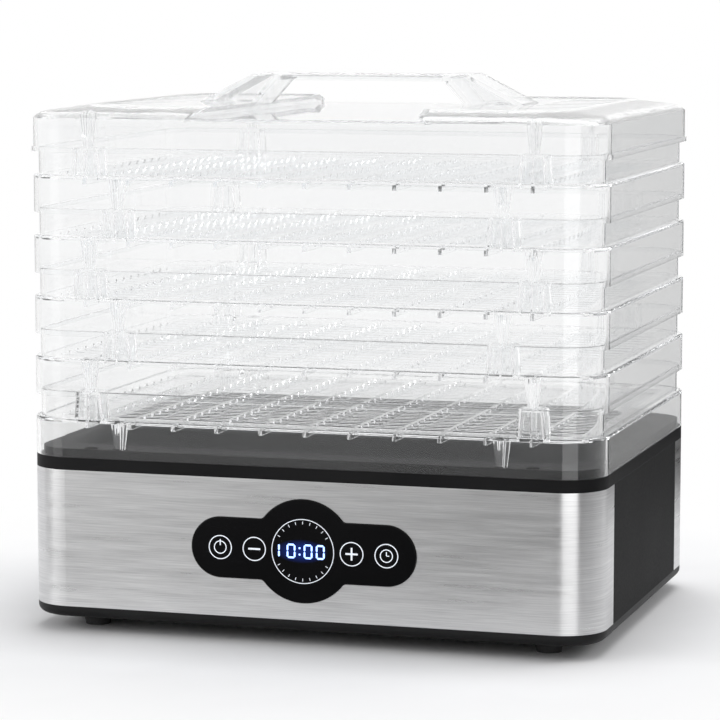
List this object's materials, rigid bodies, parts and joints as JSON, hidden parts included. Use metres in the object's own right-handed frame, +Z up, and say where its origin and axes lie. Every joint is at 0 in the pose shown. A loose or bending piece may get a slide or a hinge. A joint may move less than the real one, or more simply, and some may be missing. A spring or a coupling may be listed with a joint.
{
  "type": "food dehydrator",
  "caption": "Electric food dehydrator with a brushed steel base, touch controls, stacking clear trays and a clear lid with a handle.",
  "frame": {"origin": "centre of the bounding box on the ground, under the feet", "axes": "+X to the right seen from the front, -Y towards the front with the controls, +Z up"},
  "size_m": [0.332, 0.249, 0.3109],
  "materials": {
    "black_plastic": "satin moulded black",
    "black_rubber": "matt moulded rubber",
    "plated_steel": "zinc plated",
    "brushed_steel": "fine brushing along the front",
    "liner_steel": "plain rolled sheet",
    "mica": "pressed mica sheet, flecked",
    "heater_alloy": "oxidised resistance wire",
    "sensor_glass": "glass bead sleeve",
    "grey_plastic": "moulded dark grey",
    "rotor_aluminium": "cast end rings",
    "lamination_steel": "stacked laminations, varnished",
    "white_nylon": "moulded nylon",
    "copper": "enamelled copper wire under tape",
    "sintered_bronze": "sintered bronze",
    "gloss_panel": "polished black with printed marks",
    "display_plastic": "smoked window over lit digits",
    "conductive_foam": "soft foam",
    "circuit_board": "green solder mask",
    "relay_plastic": "blue relay case",
    "transformer_yellow": "taped core",
    "capacitor_amber": "dipped case",
    "terminal_green": "screw terminal body",
    "clear_plastic": "clear moulded polystyrene"
  },
  "bodies": {
    "base": {"board_bracket": "black_plastic", "bottom_pan": "black_plastic", "coil_bobbin": "white_nylon", "control_board": "circuit_board", "control_board_screws": "plated_steel", "control_panel": "gloss_panel", "cord_gland": "black_rubber", "deck_screws": "plated_steel", "duct_screws": "plated_steel", "fan_duct": "black_plastic", "filter_capacitor": "capacitor_amber", "foot_front_left": "black_rubber", "foot_front_right": "black_rubber", "foot_rear_left": "black_rubber", "foot_rear_right": "black_rubber", "foot_screws": "plated_steel", "front_steel_wrap": "brushed_steel", "heat_shield": "liner_steel", "heater_coil": "heater_alloy", "led_display": "display_plastic", "left_side_panel": "black_plastic", "lower_bearing": "sintered_bronze", "lower_motor_bracket": "plated_steel", "mica_board_cross": "mica", "mica_board_long": "mica", "motor_screws": "plated_steel", "motor_stator": "lamination_steel", "motor_winding": "copper", "outlet_grille": "black_plastic", "power_board": "circuit_board", "power_board_screws": "plated_steel", "power_relay": "relay_plastic", "power_terminal": "terminal_green", "power_transformer": "transformer_yellow", "rear_steel_wrap": "brushed_steel", "right_side_panel": "black_plastic", "temperature_sensor": "sensor_glass", "thermal_fuse": "plated_steel", "thermostat": "plated_steel", "top_deck": "black_plastic", "touch_pads": "conductive_foam", "upper_bearing": "sintered_bronze", "upper_motor_bracket": "plated_steel"},
    "fan": {"fan_impeller": "grey_plastic", "motor_rotor": "rotor_aluminium", "motor_shaft": "plated_steel"},
    "tray_1": {"tray_1": "clear_plastic"},
    "tray_2": {"tray_2": "clear_plastic"},
    "tray_3": {"tray_3": "clear_plastic"},
    "tray_4": {"tray_4": "clear_plastic"},
    "tray_5": {"tray_5": "clear_plastic"},
    "lid": {"lid": "clear_plastic"}
  },
  "joints": [
    {"name": "fan_spin", "type": "hinge", "parent": "base", "child": "fan", "pos_m": [0, 0, 0.055], "axis": [0, 0, 1], "continuous": true},
    {"name": "tray_5_lift", "type": "slide", "parent": "base", "child": "tray_5", "axis": [0, 0, 1], "range_m": [0, 0.06]},
    {"name": "tray_4_lift", "type": "slide", "parent": "tray_5", "child": "tray_4", "axis": [0, 0, 1], "range_m": [0, 0.06]},
    {"name": "tray_3_lift", "type": "slide", "parent": "tray_4", "child": "tray_3", "axis": [0, 0, 1], "range_m": [0, 0.06]},
    {"name": "tray_2_lift", "type": "slide", "parent": "tray_3", "child": "tray_2", "axis": [0, 0, 1], "range_m": [0, 0.06]},
    {"name": "tray_1_lift", "type": "slide", "parent": "tray_2", "child": "tray_1", "axis": [0, 0, 1], "range_m": [0, 0.06]},
    {"name": "lid_lift", "type": "slide", "parent": "tray_1", "child": "lid", "axis": [0, 0, 1], "range_m": [0, 0.08]}
  ]
}
